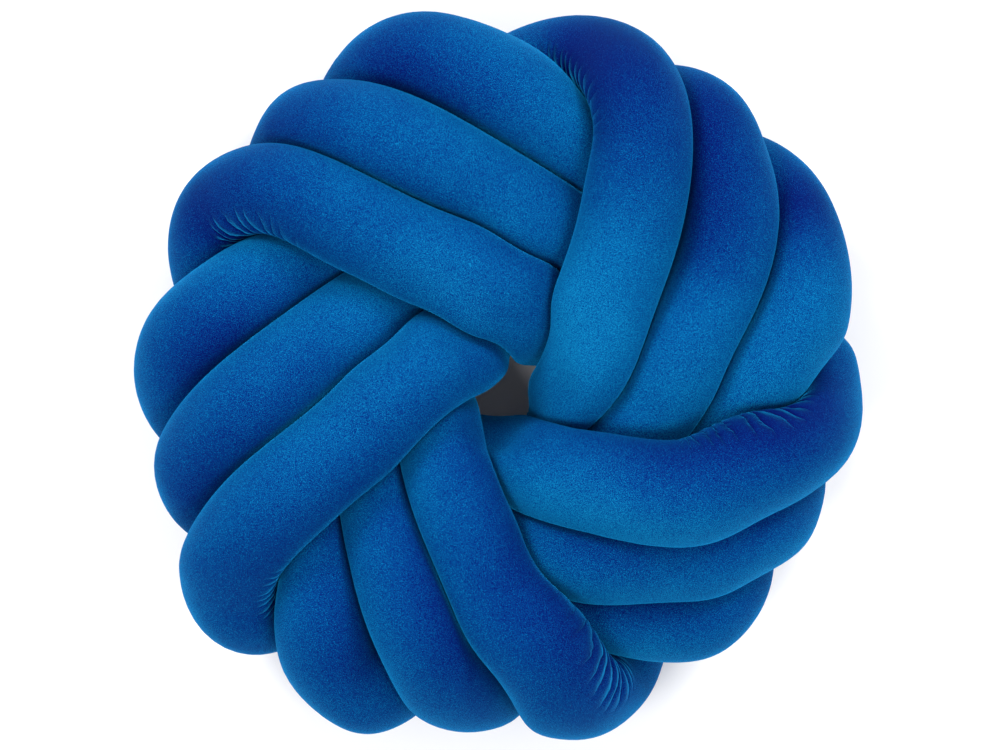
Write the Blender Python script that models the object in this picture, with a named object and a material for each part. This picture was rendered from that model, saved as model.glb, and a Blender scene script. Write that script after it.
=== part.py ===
"""Knot cushion: two soft, filled velvet tubes, each closed into a ring and laid side by side into a
flat round knot. Five groups of three tubes cross the top like a pinwheel, and dive under the next
group at the middle. The knot lies on its back, on the floor plane z = 0. Metres, +Z up."""

import math

import bmesh
import bpy
import numpy as np

TUBE_RADIUS = 0.0295  # a tube where nothing presses on it
PRESSED = 0.043  # how near two neighbouring centrelines come
SKIN_GAP = 0.0008  # left between two skins that press on each other, faceted as they are
MIDDLE_HEIGHT = 0.064  # the knot's middle plane above the floor
FLATTENED = 0.003  # how much a tube gives where it rests on the floor
SIDES = 12  # facets round a tube
FACET_LENGTH = 0.0117  # and along it
ROUTE_STEP = 0.0115  # spacing of the points that the routes are settled with
NEAR_STEP = 0.005  # spacing of the points that a skin is pressed against

# One row for each pass of a tube over the top, from its lobe at the rim in towards the middle.
# Groups E, A, B, C and D follow each other clockwise. Lane 1 is the innermost pass of a group.
# lobe: degrees round the rim. reach: centreline's distance from the middle there.
# heading: degrees, the way the pass runs in. offset: how far its line misses the middle.
# bow: how far it swells outwards on the way. rise: how high it climbs next to its lane's own climb.
BANDS = """
band   lobe  reach heading offset  bow  rise
E1    151.0  0.171   -26.8  0.033 0.000 1.06
E2    129.0  0.163   -27.0  0.081 0.000 1.00
E3    107.0  0.168   -27.0  0.135 0.000 1.00
A1     70.5  0.165  -108.0  0.040 0.002 1.00
A2     48.0  0.170  -110.5  0.092 0.003 1.00
A3     25.0  0.173  -113.0  0.138 0.005 1.00
B1     -2.0  0.165   168.0  0.054 0.007 1.22
B2    -31.5  0.147   171.0  0.094 0.003 0.78
B3    -55.0  0.146   175.0  0.128 0.003 0.88
C1    -78.0  0.157   103.5  0.036 0.002 1.00
C2   -100.5  0.152   103.5  0.078 0.002 1.00
C3   -119.0  0.183   103.0  0.121 0.002 1.00
D1   -136.0  0.195    39.5  0.017 0.000 0.86
D2   -160.5  0.173    39.0  0.067 0.000 1.00
D3    177.0  0.165    38.0  0.115 0.000 1.00
"""

# How a pass of each lane climbs and dives: the way in, from 0 at its lobe to 1 at the middle,
# and its height there over the knot's middle plane, before the knot is pressed flat.
CLIMB = {
    1: ((0.12, 0.054), (0.28, 0.075), (0.60, 0.063), (0.84, 0.034)),
    2: ((0.14, 0.045), (0.32, 0.063), (0.62, 0.060), (0.87, 0.030)),
    3: ((0.20, 0.042), (0.45, 0.051), (0.72, 0.030)),
}
SETTLES_BY = {1: 0.13, 2: 0.20, 3: 0.20}  # the way in by which a pass has joined its own line

# The passes of the underside, which isn't seen, are even: a row for each lane.
PASSES_BELOW = """
lane offset   bow  rise
1     0.040 0.000  1.00
2     0.086 0.000  1.00
3     0.124 0.000  1.00
"""

# A tube that leaves the top in one group comes up again at the rim of this one.
FOLLOWING = {"E": "B", "B": "D", "D": "A", "A": "C", "C": "E"}

# How the knot is pressed together, round by round.
ROUNDS = 60
EASE = 0.5  # share of its bend that a tube gives up
HOLD_ABOVE = 0.30  # pull of a pass back to its own line, on the top
HOLD_BELOW = 0.05  # and on the underside
SINK = 0.05  # pull towards the middle plane
PUSH = 1.2
STRAIGHTENED = 30  # times that the small waves are taken out of the routes at the end
OWN_LENGTH = 0.090  # along one tube, points nearer than this are no neighbours

VELVET = (0.0024, 0.0802, 0.332, 1.0)


def table(text):
    """{row name: {column: value}} of a table written out above."""
    rows = [line.split() for line in text.strip().splitlines()]
    columns = rows[0][1:]
    return {row[0]: dict(zip(columns, map(float, row[1:]))) for row in rows[1:]}


BAND = table(BANDS)
BELOW = table(PASSES_BELOW)


def direction(degrees):
    angle = math.radians(degrees)
    return np.array([math.cos(angle), math.sin(angle)])


def upper_pass(name, unlike=()):
    """Stations of one pass over the top, from the rim to where it lies halfway down in the middle."""
    band, lane = {**BAND[name], **dict(unlike)}, int(name[1])
    along = direction(band["heading"])
    aside = direction(band["heading"] + 90)
    lobe = band["reach"] * direction(band["lobe"])
    start, swing = lobe @ along, lobe @ aside - band["offset"]
    stations = [(*lobe, 0.0)]
    for way, climb in CLIMB[lane]:
        height = climb * band["rise"]
        side = band["offset"] + swing * math.exp(-((way / SETTLES_BY[lane]) ** 2))
        side += band["bow"] * math.sin(math.pi * way)
        stations.append((*(start * (1 - way) * along + side * aside), height))
    stations.append((*(band["offset"] * aside), 0.0))
    return np.array(stations)


def lower_pass(name, following):
    """The same pass turned over, which takes the tube out under the knot to its next lobe."""
    turn = (BAND[name]["lobe"] - BAND[following]["lobe"]) % 360
    axis = direction(BAND[name]["lobe"] - turn / 2)
    stations = upper_pass(name, BELOW[name[1]])[::-1].copy()
    stations[:, :2] = 2 * np.outer(stations[:, :2] @ axis, axis) - stations[:, :2]
    stations[:, 2] *= -1
    return stations


def route(first):
    """Stations of a whole tube, which passes over and under until it is back at its first lobe."""
    stations, name = [], first
    while True:
        following = FOLLOWING[name[0]] + str(4 - int(name[1]))
        over, under = upper_pass(name), lower_pass(name, following)
        crossing = (over[-1] + under[0]) / 2
        stations += [*over[:-1], crossing, *under[1:-1]]
        name = following
        if name == first:
            return np.array(stations)


def evenly(curve, step):
    """The closed curve with its points about one step apart."""
    loop = np.vstack([curve, curve[:1]])
    run = np.concatenate([[0], np.cumsum(np.linalg.norm(np.diff(loop, axis=0), axis=1))])
    count = round(run[-1] / step)
    places = np.arange(count) * run[-1] / count
    return np.stack([np.interp(places, run, loop[:, axis]) for axis in range(3)], 1)


def smooth_curve(stations, step, finer=20):
    """A closed curve through the stations that bends evenly: a periodic cubic spline."""
    count = len(stations)
    before, after = np.roll(stations, 1, 0), np.roll(stations, -1, 0)
    span = np.linalg.norm(after - stations, axis=1) ** 0.75
    last = np.roll(span, 1)
    system = np.diag(2 * (span + last))
    for i in range(count):
        system[i, (i + 1) % count] += span[i]
        system[i, i - 1] += last[i]
    change = (after - stations) / span[:, None] - (stations - before) / last[:, None]
    bend = np.linalg.solve(system, 6 * change)[:, None]
    b = (np.arange(finer) / finer)[None, :, None]
    a = 1 - b
    scale = span[:, None, None] ** 2 / 6
    straight = a * stations[:, None] + b * after[:, None]
    curved = (a**3 - a) * bend + (b**3 - b) * np.roll(bend, -1, 0)
    return evenly((straight + scale * curved).reshape(-1, 3), step)


def press_together(rings):
    """The routes drawn down flat, with neighbouring passes moved apart until they only press."""
    sizes = [len(ring) for ring in rings]
    points = np.vstack(rings)
    lines = points[:, :2].copy()
    size = np.repeat(sizes, sizes)
    first = np.repeat(np.cumsum([0, *sizes[:-1]]), sizes)
    place = np.arange(len(points)) - first
    after = first + (place + 1) % size
    before = first + (place - 1) % size
    hold = np.where(points[:, 2] >= 0, HOLD_ABOVE, HOLD_BELOW)[:, None]
    along = np.abs(place[:, None] - place)
    along = np.minimum(along, size[:, None] - along)
    neighbours = (first[:, None] != first) | (along * ROUTE_STEP >= OWN_LENGTH)
    for _ in range(ROUNDS):
        points += EASE * ((points[after] + points[before]) / 2 - points)
        points[:, :2] += hold * (lines - points[:, :2])
        points[:, 2] *= 1 - SINK
        points[:, 2] = np.maximum(points[:, 2], TUBE_RADIUS - FLATTENED - MIDDLE_HEIGHT)
        for _ in range(2):
            away = points[:, None] - points
            distance = np.sqrt((away**2).sum(2)) + 1e-9
            close = neighbours & (distance < PRESSED)
            share = np.where(close, (PRESSED - distance) / distance, 0)
            push = (share[:, :, None] * away).sum(1)
            points += PUSH * push / np.maximum(close.sum(1), 1)[:, None]
    for share in (0.5, -0.53) * STRAIGHTENED:
        points += share * ((points[after] + points[before]) / 2 - points)
    return np.split(points, np.cumsum(sizes)[:-1])


def cross_directions(centres):
    """At each centre, SIDES directions square to the tube, which turn as little as they can."""
    tangents = np.roll(centres, -1, 0) - np.roll(centres, 1, 0)
    tangents /= np.linalg.norm(tangents, axis=1)[:, None]
    flat = np.cross(tangents[0], (0, 0, 1))
    carried = [flat / np.linalg.norm(flat)]
    for tangent in [*tangents[1:], tangents[0]]:
        side = carried[-1] - tangent * (carried[-1] @ tangent)
        carried.append(side / np.linalg.norm(side))
    first, last = carried[0], carried.pop()
    leftover = math.atan2(np.cross(last, first) @ tangents[0], last @ first)
    across = np.array(carried)
    upright = np.cross(tangents, across)
    count = len(centres)
    angles = leftover * np.arange(count)[:, None] / count + 2 * math.pi * np.arange(SIDES) / SIDES
    return np.cos(angles)[..., None] * across[:, None] + np.sin(angles)[..., None] * upright[:, None]


def skin_points(centres, ring, rings):
    """Points of a tube's skin: round where it is free, flat where it presses on a neighbour."""
    out = cross_directions(centres)
    near = [evenly(curve, NEAR_STEP) for curve in rings]
    radius = np.empty(out.shape[:2])
    for i, centre in enumerate(centres):
        limits = np.full(SIDES, 1.0)
        for other, points in enumerate(near):
            away = points - centre
            distance = np.linalg.norm(away, axis=1)
            reach = distance < 2.2 * TUBE_RADIUS
            gap = np.full(len(points), SKIN_GAP)
            if other == ring:
                along = np.abs(np.arange(len(points)) - i * len(points) / len(centres))
                along = np.minimum(along, len(points) - along) * NEAR_STEP
                reach &= along > 2.5 * NEAR_STEP
                gap[along < OWN_LENGTH] = 0.0
            if not reach.any():
                continue
            half = (distance[reach] - gap[reach]) / 2
            facing = out[i] @ (away[reach] / distance[reach][:, None]).T
            limit = np.where(facing > 0.02, half / np.maximum(facing, 0.02), 1.0)
            limits = np.minimum(limits, limit.min(1))
        radius[i] = (limits**-8.0 + TUBE_RADIUS**-8.0) ** -0.125
    points = centres[:, None] + radius[..., None] * out
    points[..., 2] = np.maximum(points[..., 2], -MIDDLE_HEIGHT)
    return points


def velvet(name):
    material = bpy.data.materials.new(name)
    material.use_nodes = True
    shader = material.node_tree.nodes["Principled BSDF"]
    shader.inputs["Base Color"].default_value = VELVET
    shader.inputs["Roughness"].default_value = 0.85
    shader.inputs["Metallic"].default_value = 0.0
    return material


def filled_tube(name, points):
    """A flat strip of stations by sides, wrapped round the route and sewn shut both ways."""
    stations, sides = points.shape[:2]
    shape = bmesh.new()
    bmesh.ops.create_grid(shape, x_segments=stations, y_segments=sides, size=0.5)
    for vertex in shape.verts:
        station = round((vertex.co.x + 0.5) * stations) % stations
        side = round((vertex.co.y + 0.5) * sides) % sides
        vertex.co = points[station, side]
    bmesh.ops.remove_doubles(shape, verts=shape.verts, dist=1e-6)
    bmesh.ops.recalc_face_normals(shape, faces=shape.faces)
    mesh = bpy.data.meshes.new(name)
    shape.to_mesh(mesh)
    shape.free()
    mesh.shade_smooth()
    tube = bpy.data.objects.new(name, mesh)
    bpy.context.collection.objects.link(tube)
    mesh.materials.append(velvet(name + "_velvet"))
    return tube


for leftover_object in list(bpy.data.objects):
    bpy.data.objects.remove(leftover_object, do_unlink=True)

# The middle lane of every group is one ring of five wraps, and the two side lanes share one of ten.
NAMES = ("middle_tube", "side_tube")
routes = [smooth_curve(route(first), ROUTE_STEP) for first in ("E2", "E1")]
settled = press_together(routes)
skins = []
for number, ring in enumerate(settled):
    centres = smooth_curve(evenly(ring, ROUTE_STEP), FACET_LENGTH, finer=6)
    skins.append(skin_points(centres, number, settled))
everything = np.vstack([skin.reshape(-1, 3) for skin in skins])
low, high = everything.min(0), everything.max(0)
to_origin = np.array([*(-(low + high)[:2] / 2), MIDDLE_HEIGHT])
for name, skin in zip(NAMES, skins):
    filled_tube(name, skin + to_origin)
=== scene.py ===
"""The looks of a knot cushion: two velvet tubes, filled and knotted into a flat round pinwheel."""

import math

import bmesh
import bpy
import numpy as np
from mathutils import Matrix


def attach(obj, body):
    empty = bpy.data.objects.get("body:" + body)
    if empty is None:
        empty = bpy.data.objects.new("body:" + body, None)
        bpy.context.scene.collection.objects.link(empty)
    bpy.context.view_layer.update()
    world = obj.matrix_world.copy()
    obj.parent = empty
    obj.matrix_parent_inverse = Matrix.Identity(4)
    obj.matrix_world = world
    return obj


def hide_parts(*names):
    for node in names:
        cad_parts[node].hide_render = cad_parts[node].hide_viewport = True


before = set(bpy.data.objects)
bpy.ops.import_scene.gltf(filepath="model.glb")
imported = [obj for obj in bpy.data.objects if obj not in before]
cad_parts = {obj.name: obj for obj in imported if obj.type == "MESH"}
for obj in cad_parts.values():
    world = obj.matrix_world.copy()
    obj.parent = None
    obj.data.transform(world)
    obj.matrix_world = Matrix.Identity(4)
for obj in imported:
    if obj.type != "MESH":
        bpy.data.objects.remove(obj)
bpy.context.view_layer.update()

# The middle tube: a sleeve of plush velvet, stuffed with loose fibre and sewn end to end, so that
# no end shows. It is the middle lane of all five groups, and passes over and under the knot five
# times. Its neighbours press it flat at the sides, and the floor does so underneath.

TUBE_RADIUS = 0.0295  # a tube where nothing presses on it
MIDDLE_HEIGHT = 0.064  # the knot's middle plane above the floor

# One row for each pass of a tube over the top, from its lobe at the rim in towards the middle.
# Groups E, A, B, C and D follow each other clockwise. Lane 1 is the innermost pass of a group.
# lobe: degrees round the rim. reach: centreline's distance from the middle there.
# heading: degrees, the way the pass runs in. offset: how far its line misses the middle.
# bow: how far it swells outwards on the way. rise: how high it climbs next to its lane's own climb.
BANDS = """
band   lobe  reach heading offset  bow  rise
E1    151.0  0.171   -26.8  0.033 0.000 1.06
E2    129.0  0.163   -27.0  0.081 0.000 1.00
E3    107.0  0.168   -27.0  0.135 0.000 1.00
A1     70.5  0.165  -108.0  0.040 0.002 1.00
A2     48.0  0.170  -110.5  0.092 0.003 1.00
A3     25.0  0.173  -113.0  0.138 0.005 1.00
B1     -2.0  0.165   168.0  0.054 0.007 1.22
B2    -31.5  0.147   171.0  0.094 0.003 0.78
B3    -55.0  0.146   175.0  0.128 0.003 0.88
C1    -78.0  0.157   103.5  0.036 0.002 1.00
C2   -100.5  0.152   103.5  0.078 0.002 1.00
C3   -119.0  0.183   103.0  0.121 0.002 1.00
D1   -136.0  0.195    39.5  0.017 0.000 0.86
D2   -160.5  0.173    39.0  0.067 0.000 1.00
D3    177.0  0.165    38.0  0.115 0.000 1.00
"""

# How a pass of each lane climbs and dives: the way in, from 0 at its lobe to 1 at the middle,
# and its height there over the knot's middle plane, before the knot is pressed flat.
CLIMB = {
    1: ((0.12, 0.054), (0.28, 0.075), (0.60, 0.063), (0.84, 0.034)),
    2: ((0.14, 0.045), (0.32, 0.063), (0.62, 0.060), (0.87, 0.030)),
    3: ((0.20, 0.042), (0.45, 0.051), (0.72, 0.030)),
}
SETTLES_BY = {1: 0.13, 2: 0.20, 3: 0.20}  # the way in by which a pass has joined its own line

# The passes of the underside, which isn't seen, are even: a row for each lane.
PASSES_BELOW = """
lane offset   bow  rise
1     0.040 0.000  1.00
2     0.086 0.000  1.00
3     0.124 0.000  1.00
"""

# Each pass runs out under the knot to the next group here, where lane 1 comes up as lane 3, and
# lane 3 as lane 1.
FOLLOWING = {"E": "B", "B": "D", "D": "A", "A": "C", "C": "E"}

# How the pile is brushed along each pass, at four ways in: 0 lies dark, 1 lies light, and a number
# past these lies darker or lighter still. Painted shade and light are worked into these numbers as
# well: darker at the lobes, where the skin turns away, and lighter where the tube's own shading
# drops. The last two columns are how much darker it is on the inner side of the turn than on the
# outer side, at the lobe and at the middle: partly how the pile leans, partly painted shade along
# the inner side next to the crease and painted light along the outer rim.
NAP_WAYS = (0.0, 0.25, 0.55, 0.90)
NAP_AND_PAINTED_SHADE = """
band lobe near middle inner lean_out lean_in
E1  -0.15 0.40  0.65  0.60  0.20    -0.20
E2   0.00 0.45  0.65  0.60  0.25    -0.15
E3  -0.10 0.30  0.60  0.65  0.45     0.00
A1  -0.40 0.40  0.85  0.95  0.15    -0.20
A2  -0.30 0.10  0.60  0.75  0.50     0.00
A3  -0.30 0.75  0.75  0.70  0.25    -0.10
B1  -0.10 0.40  0.70  0.65  0.70     0.20
B2   0.10 0.20  0.50  0.55  0.80     0.20
B3   0.15 0.15  0.35  0.35  0.90     0.50
C1   0.20 0.30  0.40  0.60  0.35     0.30
C2   0.25 0.30  0.50  0.50  0.45     0.15
C3   0.25 0.35  0.35  0.35  0.45     0.15
D1   0.25 0.40  0.50  0.60  0.30     0.15
D2   0.05 0.30  0.60  0.80  0.35     0.20
D3   0.15 0.30  0.70  0.65  0.55     0.35
"""
NAP_BELOW = 0.45

# How much the velvet gathers in folds on the inner side of a sharp turn, at five ways in: 1 is
# fully, and past 1 the folds also reach further round the tube. The first way is just before the
# lobe, where the tube still comes up from below. The other bands have no folds that show.
FOLD_WAYS = (-0.12, 0.0, 0.12, 0.25, 0.40)
FOLDS = """
band below lobe near turned after
E1    0.60 1.10 1.00  0.30  0.00
A1    2.00 1.25 0.40  0.05  0.00
B1    0.15 0.45 0.80  0.35  0.00
C1    1.20 1.00 0.25  0.00  0.00
D1    1.00 1.10 0.70  0.10  0.00
"""
MOST_FOLDS = 2


def table(text):
    """{row name: {column: value}} of a table written out above."""
    rows = [line.split() for line in text.strip().splitlines()]
    columns = rows[0][1:]
    return {row[0]: dict(zip(columns, map(float, row[1:]))) for row in rows[1:]}


BAND = table(BANDS)
BELOW = table(PASSES_BELOW)
NAP_AND_PAINTED_SHADE_OF = {name: list(row.values()) for name, row in table(NAP_AND_PAINTED_SHADE).items()}
FOLDS_OF = {name: list(row.values()) for name, row in table(FOLDS).items()}


def pile(name, way):
    """The brushed pile of a band at one way in, with painted shade and light worked into it, how
    much darker its inner side is than its outer side, and its folds.
    """
    *nap, lean_and_painted_shade_out, lean_and_painted_shade_in = NAP_AND_PAINTED_SHADE_OF[name]
    folds = FOLDS_OF.get(name, [0] * len(FOLD_WAYS))
    lean_and_painted_shade = lean_and_painted_shade_out + (lean_and_painted_shade_in - lean_and_painted_shade_out) * way
    return np.interp(way, NAP_WAYS, nap), lean_and_painted_shade, np.interp(way, FOLD_WAYS, folds)


def direction(degrees):
    angle = math.radians(degrees)
    return np.array([math.cos(angle), math.sin(angle)])


# A station is a row of numbers: its place, and what the pile does there, with the painted shade and
# light worked into it. So the first two columns are its place seen from above, and the first three
# its place in space.
X, Y, Z, NAP_AND_PAINTED_SHADE_AT, LEAN_AND_PAINTED_SHADE_AT, FOLDS_AT = range(6)


def upper_pass(name, unlike=()):
    """Stations of one pass over the top, from its lobe at the rim to the middle."""
    band, lane = {**BAND[name], **dict(unlike)}, int(name[1])
    along = direction(band["heading"])
    aside = direction(band["heading"] + 90)
    lobe = band["reach"] * direction(band["lobe"])
    start, swing = lobe @ along, lobe @ aside - band["offset"]
    stations = [(*lobe, 0.0, *pile(name, 0))]
    for way, climb in CLIMB[lane]:
        height = climb * band["rise"]
        side = band["offset"] + swing * math.exp(-((way / SETTLES_BY[lane]) ** 2))
        side += band["bow"] * math.sin(math.pi * way)
        stations.append((*(start * (1 - way) * along + side * aside), height, *pile(name, way)))
    stations.append((*(band["offset"] * aside), 0.0, *pile(name, 1)))
    return np.array(stations)


def lower_pass(name, following):
    """The same pass turned over, which takes the tube out under the knot to its next lobe."""
    turn = (BAND[name]["lobe"] - BAND[following]["lobe"]) % 360
    axis = direction(BAND[name]["lobe"] - turn / 2)
    stations = upper_pass(name, BELOW[name[1]])[::-1].copy()
    stations[:, :Z] = 2 * np.outer(stations[:, :Z] @ axis, axis) - stations[:, :Z]
    stations[:, Z] *= -1
    stations[:, NAP_AND_PAINTED_SHADE_AT:] = NAP_BELOW, 0, 0
    *_, folds_before_lobe = pile(following, FOLD_WAYS[0])
    stations[-2, FOLDS_AT] = folds_before_lobe
    return stations


def route(first):
    """Stations of a whole tube, which passes over and under until it is back at its first lobe."""
    stations, name = [], first
    while True:
        following = FOLLOWING[name[0]] + str(4 - int(name[1]))
        over, under = upper_pass(name), lower_pass(name, following)
        crossing = (over[-1] + under[0]) / 2
        stations += [*over[:-1], crossing, *under[1:-1]]
        name = following
        if name == first:
            return np.array(stations)


def evenly(curve, step):
    """The closed curve with its points about one step apart."""
    loop = np.vstack([curve, curve[:1]])
    run = np.linalg.norm(np.diff(loop[:, :NAP_AND_PAINTED_SHADE_AT], axis=0), axis=1)
    run = np.concatenate([[0], np.cumsum(run)])
    count = round(run[-1] / step)
    places = np.arange(count) * run[-1] / count
    return np.stack([np.interp(places, run, column) for column in loop.T], 1)


SPAN_POWER = 0.75  # how much a longer span bends more: less than 1 keeps short spans from kinking


def smooth_curve(stations, step, finer=20):
    """A closed curve through the stations that bends evenly: a periodic cubic spline."""
    count = len(stations)
    before, after = np.roll(stations, 1, 0), np.roll(stations, -1, 0)
    span = np.linalg.norm((after - stations)[:, :NAP_AND_PAINTED_SHADE_AT], axis=1) ** SPAN_POWER
    last = np.roll(span, 1)
    system = np.diag(2 * (span + last))
    for i in range(count):
        system[i, (i + 1) % count] += span[i]
        system[i, i - 1] += last[i]
    change = (after - stations) / span[:, None] - (stations - before) / last[:, None]
    bend = np.linalg.solve(system, 6 * change)[:, None]
    b = (np.arange(finer) / finer)[None, :, None]
    a = 1 - b
    scale = span[:, None, None] ** 2 / 6
    straight = a * stations[:, None] + b * after[:, None]
    curved = (a**3 - a) * bend + (b**3 - b) * np.roll(bend, -1, 0)
    return evenly((straight + scale * curved).reshape(-1, stations.shape[1]), step)


PRESSED = 0.043  # how near two neighbouring centrelines come
FLATTENED = 0.003  # how much a tube gives where it rests on the floor
ROUTE_STEP = 0.0115  # spacing of the points that the routes are settled with
OWN_LENGTH = 0.090  # along one tube, points nearer than this are no neighbours
ROUNDS = 60
EASE = 0.5  # share of its bend that a tube gives up
HOLD_ABOVE = 0.30  # pull of a pass back to its own line, on the top
HOLD_BELOW = 0.05  # and on the underside
SINK = 0.05  # pull towards the middle plane
PUSHES = 2  # in each round
PUSH = 1.2
STRAIGHTENED = 30  # times that the small waves are taken out of the routes at the end
STRAIGHTENING = (0.5, -0.53)  # a smoothing, and a step back out that keeps the routes' size
HAIR = 1e-9  # added to each distance, so that none is nothing


def press_together(rings):
    """The routes drawn down flat, with neighbouring passes moved apart until they only press."""
    sizes = [len(ring) for ring in rings]
    everything = np.vstack(rings)
    points = everything[:, :NAP_AND_PAINTED_SHADE_AT]
    lines = points[:, :Z].copy()
    size = np.repeat(sizes, sizes)
    first = np.repeat(np.cumsum([0, *sizes[:-1]]), sizes)
    place = np.arange(len(points)) - first
    after = first + (place + 1) % size
    before = first + (place - 1) % size
    hold = np.where(points[:, Z] >= 0, HOLD_ABOVE, HOLD_BELOW)[:, None]
    along = np.abs(place[:, None] - place)
    along = np.minimum(along, size[:, None] - along)
    neighbours = (first[:, None] != first) | (along * ROUTE_STEP >= OWN_LENGTH)
    for _ in range(ROUNDS):
        points += EASE * ((points[after] + points[before]) / 2 - points)
        points[:, :Z] += hold * (lines - points[:, :Z])
        points[:, Z] *= 1 - SINK
        points[:, Z] = np.maximum(points[:, Z], TUBE_RADIUS - FLATTENED - MIDDLE_HEIGHT)
        for _ in range(PUSHES):
            away = points[:, None] - points
            distance = np.sqrt((away**2).sum(2)) + HAIR
            close = neighbours & (distance < PRESSED)
            share = np.where(close, (PRESSED - distance) / distance, 0)
            push = (share[:, :, None] * away).sum(1)
            points += PUSH * push / np.maximum(close.sum(1), 1)[:, None]
    for share in STRAIGHTENING * STRAIGHTENED:
        points += share * ((points[after] + points[before]) / 2 - points)
    return np.split(everything, np.cumsum(sizes)[:-1])


SIDES = 56  # points round a tube
STATION_LENGTH = 0.0023  # between two rows of them


def cross_directions(centres):
    """At each centre, SIDES directions square to the tube, which turn as little as they can."""
    tangents = np.roll(centres, -1, 0) - np.roll(centres, 1, 0)
    tangents /= np.linalg.norm(tangents, axis=1)[:, None]
    flat = np.cross(tangents[0], (0, 0, 1))
    carried = [flat / np.linalg.norm(flat)]
    for tangent in [*tangents[1:], tangents[0]]:
        side = carried[-1] - tangent * (carried[-1] @ tangent)
        carried.append(side / np.linalg.norm(side))
    first, last = carried[0], carried.pop()
    leftover = math.atan2(np.cross(last, first) @ tangents[0], last @ first)
    across = np.array(carried)
    upright = np.cross(tangents, across)
    count = len(centres)
    angles = leftover * np.arange(count)[:, None] / count + 2 * math.pi * np.arange(SIDES) / SIDES
    cosines, sines = np.cos(angles)[..., None], np.sin(angles)[..., None]
    return cosines * across[:, None] + sines * upright[:, None]


def blurred(field, reach):
    """A field on a tube's skin, stations by sides, made smooth along the tube."""
    offsets = np.arange(-3 * reach, 3 * reach + 1)
    weights = np.exp(-((offsets / reach) ** 2) / 2)
    parts = [weight * np.roll(field, offset, 0) for weight, offset in zip(weights, offsets)]
    return sum(parts) / weights.sum()


NEAR_STEP = 0.004  # spacing of the points that a skin is pressed against
NEAR_RADII = 2.4  # how far off such a point may be, in tube radii
OWN_STEPS = 2.5  # how far along its own tube it is at least, in steps
SKIN_GAP = 0.0004  # left between two skins that press on each other
FACING = 0.02  # the least that a direction faces a neighbour which stops it
UNSTOPPED = 1.0  # metres, the radius of a skin that nothing stops
OVERHEAD = 0.12  # the least slope up to a neighbour that lies on top
OVERLAIN_RADII = 1.75  # a tube is overlain from this many radii, and fully from one
ROUNDNESS = 12  # how tight the corner is where a skin turns from round to flat
SOFTENED = 3  # stations over which such a corner is eased along the tube
DRAWN_IN = 0.10  # how much the knot narrows its tubes at the middle
DRAWN_WITHIN = 0.045


def pressed_skin(centres, ring, rings):
    """Directions out from each centre of a tube, its radius that way, round where it is free and
    flat where it presses on a neighbour, and how much of it lies under another tube."""
    out = cross_directions(centres)
    near = [evenly(curve, NEAR_STEP) for curve in rings]
    limits = np.full(out.shape[:2], UNSTOPPED)
    overlain = np.full(out.shape[:2], UNSTOPPED)
    for i, centre in enumerate(centres):
        for other, points in enumerate(near):
            away = points - centre
            distance = np.linalg.norm(away, axis=1)
            reach = distance < NEAR_RADII * TUBE_RADIUS
            gap = np.full(len(points), SKIN_GAP)
            if other == ring:
                along = np.abs(np.arange(len(points)) - i * len(points) / len(centres))
                along = np.minimum(along, len(points) - along) * NEAR_STEP
                reach &= along > OWN_STEPS * NEAR_STEP
                gap[along < OWN_LENGTH] = 0.0
            if not reach.any():
                continue
            half = (distance[reach] - gap[reach]) / 2
            toward = away[reach] / distance[reach][:, None]
            facing = out[i] @ toward.T
            limit = np.where(facing > FACING, half / np.maximum(facing, FACING), UNSTOPPED)
            limits[i] = np.minimum(limits[i], limit.min(1))
            above = (toward[:, Z] > OVERHEAD) & (gap[reach] > 0)
            if above.any():
                overlain[i] = np.minimum(overlain[i], limit[:, above].min(1))
    middle_way = np.hypot(centres[:, X], centres[:, Y]) / DRAWN_WITHIN
    free = TUBE_RADIUS * (1 - DRAWN_IN * np.exp(-(middle_way**2))[:, None])
    radius = (limits**-ROUNDNESS + free**-ROUNDNESS) ** (-1 / ROUNDNESS)
    radius = np.minimum(blurred(radius, SOFTENED), limits)
    overlain = (OVERLAIN_RADII - blurred(overlain, SOFTENED) / TUBE_RADIUS) / (OVERLAIN_RADII - 1)
    return out, radius, np.clip(overlain, 0, 1)


def wave(number, *places):
    """A slow wave over the given places, uneven because its numbers share no measure. It differs
    from one number to the next."""
    turn = sum((1.7 + 0.9 * math.sin(number + 2.1 * i)) * place for i, place in enumerate(places))
    return np.sin(turn + number) * np.cos(0.63 * turn - 2.7 * number)


FOLD_LENGTH = 0.0070
FOLD_DEPTH = 0.0021
FOLD_SHARPNESS = 0.7
FOLD_EVENNESS = 0.6  # the rest of the depth comes and goes
FOLD_SWELL = 0.011  # length over which it does
TURN_STATIONS = 3  # either way, over which the turn of the tube is read
FOLDS_FROM = 0.84  # how far a skin faces the inner side where folds start, were there almost none
FOLDS_REACH = 0.74  # how much further round full folds start
FOLDS_FADE = 0.55  # over which they deepen

# How the folds wander off straight: by how much, over what length, and how often round the tube.
FOLD_WANDERING = """
waves  number  shift length times
long      1.3 0.0022  0.013     1
short     4.1 0.0010  0.005     2
"""


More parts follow.
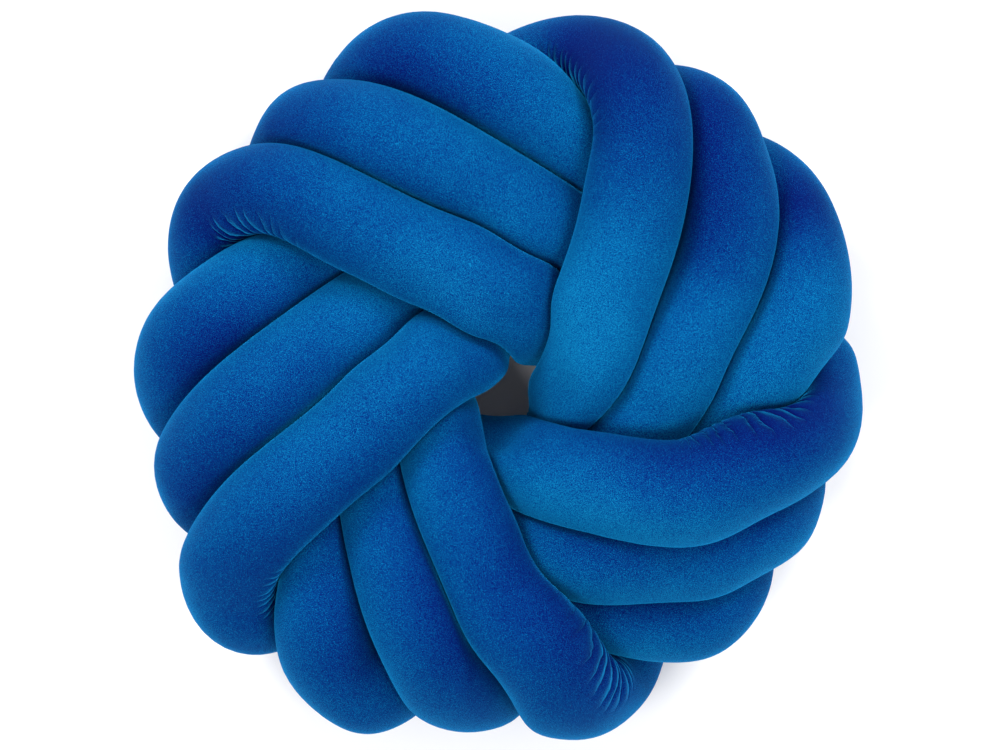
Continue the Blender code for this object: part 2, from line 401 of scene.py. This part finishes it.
def skin(centres, folds, ring, rings):
    """Points of a tube's skin, and fields on it: the run along the tube, where it gathers in folds,
    where it is overlain, and how far it faces the inner side of the turn."""
    out, radius, overlain = pressed_skin(centres, ring, rings)

    # Where the tube turns sharply, the velvet on the inner side of the turn, the right side as the
    # tube runs in, has nowhere to go and gathers into small folds across the tube.
    tangents = np.roll(centres, -TURN_STATIONS, 0) - np.roll(centres, TURN_STATIONS, 0)
    inner = np.stack([tangents[:, Y], -tangents[:, X], 0 * tangents[:, X]], 1)
    inner /= np.linalg.norm(inner, axis=1)[:, None]
    inward = np.einsum("ij,ikj->ik", inner, out)
    gathered = inward - FOLDS_FROM + FOLDS_REACH * folds[:, None]
    gathered = np.clip(gathered / FOLDS_FADE, 0, 1)
    gathered = np.minimum(folds, 1)[:, None] * gathered**2 * (3 - 2 * gathered)
    step = np.linalg.norm(np.roll(centres, -1, 0) - centres, axis=1).mean()
    run = (np.arange(len(centres)) * step)[:, None] + np.zeros(SIDES)
    side = 2 * math.pi * np.arange(SIDES)[None, :] / SIDES
    run += sum(
        row["shift"] * wave(row["number"], run / row["length"], row["times"] * side)
        for row in table(FOLD_WANDERING).values()
    )
    groove = np.abs(np.sin(math.pi * run / FOLD_LENGTH)) ** FOLD_SHARPNESS - 1
    swell = FOLD_EVENNESS + (1 - FOLD_EVENNESS) * wave(2.2, run / FOLD_SWELL)
    radius += FOLD_DEPTH * gathered * groove * swell

    points = centres[:, None] + radius[..., None] * out
    points[..., Z] = np.maximum(points[..., Z], -MIDDLE_HEIGHT)
    return points, {"run": run, "gathered": gathered, "overlain": overlain, "inward": inward}


# Where the stuffing has let the tubes settle off these even routes: a row for each place, with the
# shift there and the reach over which it dies away.
SETTLED = """
place             x       y      dx      dy  reach
end_of_E1   -0.0187  0.0318   0.000  -0.011  0.020
tip_of_D1    0.0062  0.0152   0.000  -0.004  0.012
foot_of_A1   0.0228 -0.0120   0.012   0.000  0.020
edge_of_A1   0.0150 -0.0130   0.005   0.000  0.012
end_of_B1    0.0020 -0.0246   0.000  -0.011  0.016
side_of_D1  -0.0104 -0.0014  -0.003   0.000  0.012
foot_of_D1  -0.0060  0.0055   0.000  -0.008  0.017
end_of_C1   -0.0065 -0.0190  -0.003  -0.002  0.014
end_of_E2    0.0150  0.0740  -0.001  -0.007  0.024
side_of_E1   0.0334  0.0418  -0.005   0.000  0.018
turn_of_E1  -0.1310  0.0761   0.000   0.004  0.025
lobe_of_E3  -0.0912  0.1736   0.001  -0.001  0.020
side_of_A1   0.0505  0.1354   0.003   0.000  0.020
lobe_of_A1   0.0560  0.1973   0.000  -0.002  0.030
foot_of_A3   0.1596 -0.0152   0.001  -0.004  0.020
edge_of_A3   0.1772  0.0036  -0.002   0.002  0.015
side_of_A3   0.1180 -0.0135   0.002   0.000  0.020
lobe_of_B1   0.1975  0.0130   0.002   0.003  0.014
lobe_of_B2   0.1790 -0.0755  -0.003   0.000  0.020
end_of_B2    0.1219 -0.1209   0.001  -0.004  0.025
lobe_of_B3   0.1147 -0.1553   0.001  -0.003  0.025
side_of_C1  -0.0026 -0.0412  -0.002   0.000  0.030
side_of_C2  -0.0131 -0.1414  -0.003  -0.001  0.030
lobe_of_C1   0.0180 -0.1950  -0.002  -0.003  0.016
edge_of_C1   0.0820 -0.1700   0.002  -0.002  0.018
lobe_of_C3  -0.0718 -0.1934  -0.002  -0.008  0.030
lobe_of_D1  -0.1725 -0.1032  -0.004   0.000  0.025
side_of_D2  -0.0618  0.0213   0.002  -0.003  0.020
"""


def settled(points):
    """The points moved as the places of SETTLED say, one place after another."""
    for place in table(SETTLED).values():
        away = points[..., :Z] - (place["x"], place["y"])
        share = np.exp(-(away**2).sum(-1) / place["reach"] ** 2)
        points = points + share[..., None] * (place["dx"], place["dy"], 0)
    return points


class Value:
    """A socket in a shader that takes part in sums as a number does."""

    def __init__(self, shader, socket):
        self.shader, self.socket = shader, socket

    def sum_with(self, operation, *others):
        return self.shader.node("ShaderNodeMath", {"operation": operation}, *others)

    def __add__(self, other):
        return self.sum_with("ADD", self, other)

    __radd__ = __add__

    def __mul__(self, other):
        return self.sum_with("MULTIPLY", self, other)

    __rmul__ = __mul__

    def __sub__(self, other):
        return self.sum_with("SUBTRACT", self, other)

    def __rsub__(self, other):
        return self.sum_with("SUBTRACT", other, self)

    def __pow__(self, other):
        return self.sum_with("POWER", self, other)

    def __abs__(self):
        return self.sum_with("ABSOLUTE", self)

    def sine(self):
        return self.sum_with("SINE", self)


class Shader:
    """The nodes of one material."""

    def __init__(self, name):
        self.material = bpy.data.materials.new(name)
        self.material.use_nodes = True
        self.tree = self.material.node_tree
        self.surface = self.tree.nodes["Principled BSDF"]

    def node(self, kind, settings, *places, out=0, **named):
        """What a new node gives, with its settings made first and its sockets fed in turn or by
        name."""
        made = self.tree.nodes.new(kind)
        for name, setting in settings.items():
            if name == "stops":
                ramp = made.color_ramp
                while len(ramp.elements) < len(setting):
                    ramp.elements.new(0.5)
                for element, (position, colour) in zip(ramp.elements, setting):
                    element.position, element.color = position, colour
            else:
                setattr(made, name, setting)
        for key, given in [*enumerate(places), *named.items()]:
            self.feed(made.inputs[key], given)
        return Value(self, made.outputs[out])

    def feed(self, socket, given):
        if isinstance(given, Value):
            self.tree.links.new(given.socket, socket)
        else:
            socket.default_value = given

    def field(self, name):
        """A field on the tube's skin."""
        return self.node("ShaderNodeAttribute", {"attribute_name": name}, out="Fac")


def linear(shown):
    """One channel of a colour, 0 to 255 as a screen shows it, in the measure that shaders take."""
    shown /= 255
    return shown / 12.92 if shown < 0.04045 else ((shown + 0.055) / 1.055) ** 2.4


def colour(red, green, blue):
    return (linear(red), linear(green), linear(blue), 1.0)


# The shades of the pile, from where it lies darkest to where its tips catch the most light, and
# the places of a nap of 0 and a nap of 1 between them.
PILE_SHADES = (
    (0.0, colour(2, 8, 82)),
    (0.275, colour(0, 29, 100)),
    (0.5, colour(0, 57, 124)),
    (0.725, colour(1, 93, 146)),
    (1.0, colour(12, 124, 176)),
)
DARK_PLACE, LIGHT_PLACE = 0.25, 0.75
TIPS_SHEEN = colour(20, 150, 215)

# The clouds in the pile, where a hand has brushed it: how many to a metre, how ragged, how strong.
CLOUDS = """
cloud  number ragged strength
broad      17      2     0.35
small      70      3     0.20
"""
GRAIN = 2600  # tufts to a metre
GRAIN_TONE = 4.0
# The next two numbers paint shade into the grooves of the folds and light onto their ridges: how
# strongly, and the height in a fold where this painted shade and light is nil.
FOLD_PAINTED_SHADE = 0.65
FOLD_LEVEL = 0.75  # the height in a fold that neither darkens nor lightens it
CREASING = 0.6  # how sharp the creases between the folds are
CRUMPLES = 130  # to a metre
CRUMPLED = 1.4  # how far they move a fold's edge, in radians
# Painted light on a tube beside the crease where another tube lies over it, lifting the shade
# there.
OVERLAIN_PAINTED_LIGHT = 0.10


def plush_velvet(name):
    """Deep blue plush. The way its pile lies makes soft dark and light clouds, which run along the
    tube, and its tips catch the light where the skin turns away. Painted shade and light are also
    worked into
    its colour: along and across each pass, in the grooves and on the ridges of its folds, and
    beside the creases where it lies under another tube."""
    shader = Shader(name)
    here = shader.node("ShaderNodeTexCoord", {}, out="Object")

    def clouds(number, ragged):
        return shader.node(
            "ShaderNodeTexNoise", {}, Vector=here, Scale=number, Detail=ragged, Roughness=0.55
        )

    gathered, overlain = shader.field("gathered"), shader.field("overlain")
    crumple = clouds(CRUMPLES, 2.0) - 0.5
    ripple = shader.field("run") * (math.pi / FOLD_LENGTH) + CRUMPLED * crumple
    fold = gathered * (abs(ripple.sine()) ** CREASING - FOLD_LEVEL)
    grain = clouds(GRAIN, 1.0)
    tone = shader.field("nap")
    for row in table(CLOUDS).values():
        tone = tone + row["strength"] * (clouds(row["number"], row["ragged"]) - 0.5)
    # Random grain tone, then painted shade in the folds' grooves and painted light on their ridges.
    tone = tone + GRAIN_TONE * (grain - 0.5) + FOLD_PAINTED_SHADE * fold
    # Painted light beside the creases, where the tube lies under another.
    tone = tone + OVERLAIN_PAINTED_LIGHT * overlain * overlain
    tone = DARK_PLACE + (LIGHT_PLACE - DARK_PLACE) * tone
    shade = shader.node("ShaderNodeValToRGB", {"stops": PILE_SHADES}, tone)
    relief = shader.node("ShaderNodeBump", {}, Strength=0.8, Distance=0.003, Height=fold)
    relief = shader.node(
        "ShaderNodeBump", {}, Strength=0.4, Distance=0.0006, Height=grain, Normal=relief
    )
    plush = shader.surface.inputs
    shader.feed(plush["Base Color"], shade)
    shader.feed(plush["Roughness"], 0.78 + 0.12 * grain)
    shader.feed(plush["Normal"], relief)
    plush["Specular IOR Level"].default_value = 0.03
    plush["Sheen Weight"].default_value = 1.0
    plush["Sheen Roughness"].default_value = 0.3
    plush["Sheen Tint"].default_value = TIPS_SHEEN
    return shader.material


def filled_tube(name, points, fields):
    """A flat strip of stations by sides, wrapped round the route and sewn shut both ways."""
    stations, sides = points.shape[:2]
    shape = bmesh.new()
    bmesh.ops.create_grid(shape, x_segments=stations, y_segments=sides, size=0.5)
    layers = {field: shape.verts.layers.float.new(field) for field in fields}
    for vertex in shape.verts:
        station = round((vertex.co.x + 0.5) * stations) % stations
        side = round((vertex.co.y + 0.5) * sides) % sides
        vertex.co = points[station, side]
        for field, layer in layers.items():
            vertex[layer] = fields[field][station, side]
    bmesh.ops.remove_doubles(shape, verts=shape.verts, dist=1e-6)
    bmesh.ops.recalc_face_normals(shape, faces=shape.faces)
    mesh = bpy.data.meshes.new(name)
    shape.to_mesh(mesh)
    shape.free()
    mesh.shade_smooth()
    tube = bpy.data.objects.new(name, mesh)
    bpy.context.collection.objects.link(tube)
    mesh.materials.append(plush_velvet(name + "_plush"))
    return tube


# Both tubes are shaped at once, because they press on each other. Band E2 is a pass of the middle
# tube, and E1 one of the side tube. Each ring then starts at its lowest point, out of sight.
routes = press_together([smooth_curve(route(first), ROUTE_STEP) for first in ("E2", "E1")])
routes = [np.roll(line, -line[:, Z].argmin(), 0) for line in routes]
centrelines = [line[:, :NAP_AND_PAINTED_SHADE_AT] for line in routes]
skins = []
for number, line in enumerate(routes):
    fine = smooth_curve(evenly(line, ROUTE_STEP), STATION_LENGTH, finer=10)
    folds = np.clip(fine[:, FOLDS_AT], 0, MOST_FOLDS)
    points, fields = skin(fine[:, :NAP_AND_PAINTED_SHADE_AT], folds, number, centrelines)
    # The brushed pile with painted shade and light worked in: darker along the inner side of each
    # turn, next to the crease, and lighter along the outer rim.
    fields["nap"] = fine[:, [NAP_AND_PAINTED_SHADE_AT]] - fine[:, [LEAN_AND_PAINTED_SHADE_AT]] * fields.pop("inward")
    skins.append((points, fields))
low = np.min([points.min((0, 1)) for points, _ in skins], 0)
high = np.max([points.max((0, 1)) for points, _ in skins], 0)
to_origin = np.array([*(-(low + high)[:Z] / 2), MIDDLE_HEIGHT])
(middle_points, middle_fields), (side_points, side_fields) = skins

middle_plush = filled_tube("middle_plush", settled(middle_points + to_origin), middle_fields)
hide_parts("middle_tube")
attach(middle_plush, "root")

# The side tube: a second sleeve of the same velvet, twice as long, stuffed and sewn end to end in
# the same way. It is the inner and the outer lane of every group, so it goes round ten times.

side_plush = filled_tube("side_plush", settled(side_points + to_origin), side_fields)
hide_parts("side_tube")
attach(side_plush, "root")

# The studio: a sheet of white paper, on which the cushion lies on its back. Four round soft lights
# stand over its corners, the two beyond its upper edge lower and stronger than the others.

FLOOR_SIZE = 6.0

shape = bmesh.new()
bmesh.ops.create_grid(shape, x_segments=1, y_segments=1, size=FLOOR_SIZE)
floor_mesh = bpy.data.meshes.new("floor")
shape.to_mesh(floor_mesh)
shape.free()
floor = bpy.data.objects.new("floor", floor_mesh)
bpy.context.collection.objects.link(floor)
paper = Shader("floor_paper")
paper.surface.inputs["Base Color"].default_value = (1.0, 1.0, 1.0, 1)
paper.surface.inputs["Roughness"].default_value = 0.9
paper.surface.inputs["Specular IOR Level"].default_value = 0.0
floor_mesh.materials.append(paper.material)

# The lamps all face the middle of the floor.
LAMP_WIDTH = 0.9
LAMPS = """
lamp            x    y   z watts
upper_left   -1.5  1.8 1.7    41
upper_right   1.5  1.8 1.7    38
lower_left   -0.9 -0.9 2.4    25
lower_right   0.9 -0.9 2.4    21
"""
for name, row in table(LAMPS).items():
    lamp = bpy.data.lights.new(name, "AREA")
    lamp.shape = "DISK"
    lamp.size = LAMP_WIDTH
    lamp.energy = row["watts"]
    light = bpy.data.objects.new(name, lamp)
    light.location = (row["x"], row["y"], row["z"])
    light.rotation_euler = (-light.location).to_track_quat("-Z", "Y").to_euler()
    bpy.context.collection.objects.link(light)

# The white of the room fills the shadows from all round.
world = bpy.data.worlds.new("studio")
world.use_nodes = True
world.node_tree.nodes["Background"].inputs["Color"].default_value = (1, 1, 1, 1)
world.node_tree.nodes["Background"].inputs["Strength"].default_value = 0.62
bpy.context.scene.world = world
bpy.context.scene.view_settings.view_transform = "Standard"

# The camera looks straight down on the cushion's face, as in the photograph.
FRAME_WIDTH = 0.5535  # of the view, at the knot's middle plane
CAMERA_DISTANCE = 3.2
CAMERA_X, CAMERA_Y = 0.0007, 0.0003
SENSOR = 36
camera_data = bpy.data.cameras.new("camera")
camera_data.sensor_width = SENSOR
camera_data.lens = SENSOR * CAMERA_DISTANCE / FRAME_WIDTH
camera = bpy.data.objects.new("camera", camera_data)
camera.location = (CAMERA_X, CAMERA_Y, MIDDLE_HEIGHT + CAMERA_DISTANCE)
bpy.context.collection.objects.link(camera)
bpy.context.scene.camera = camera
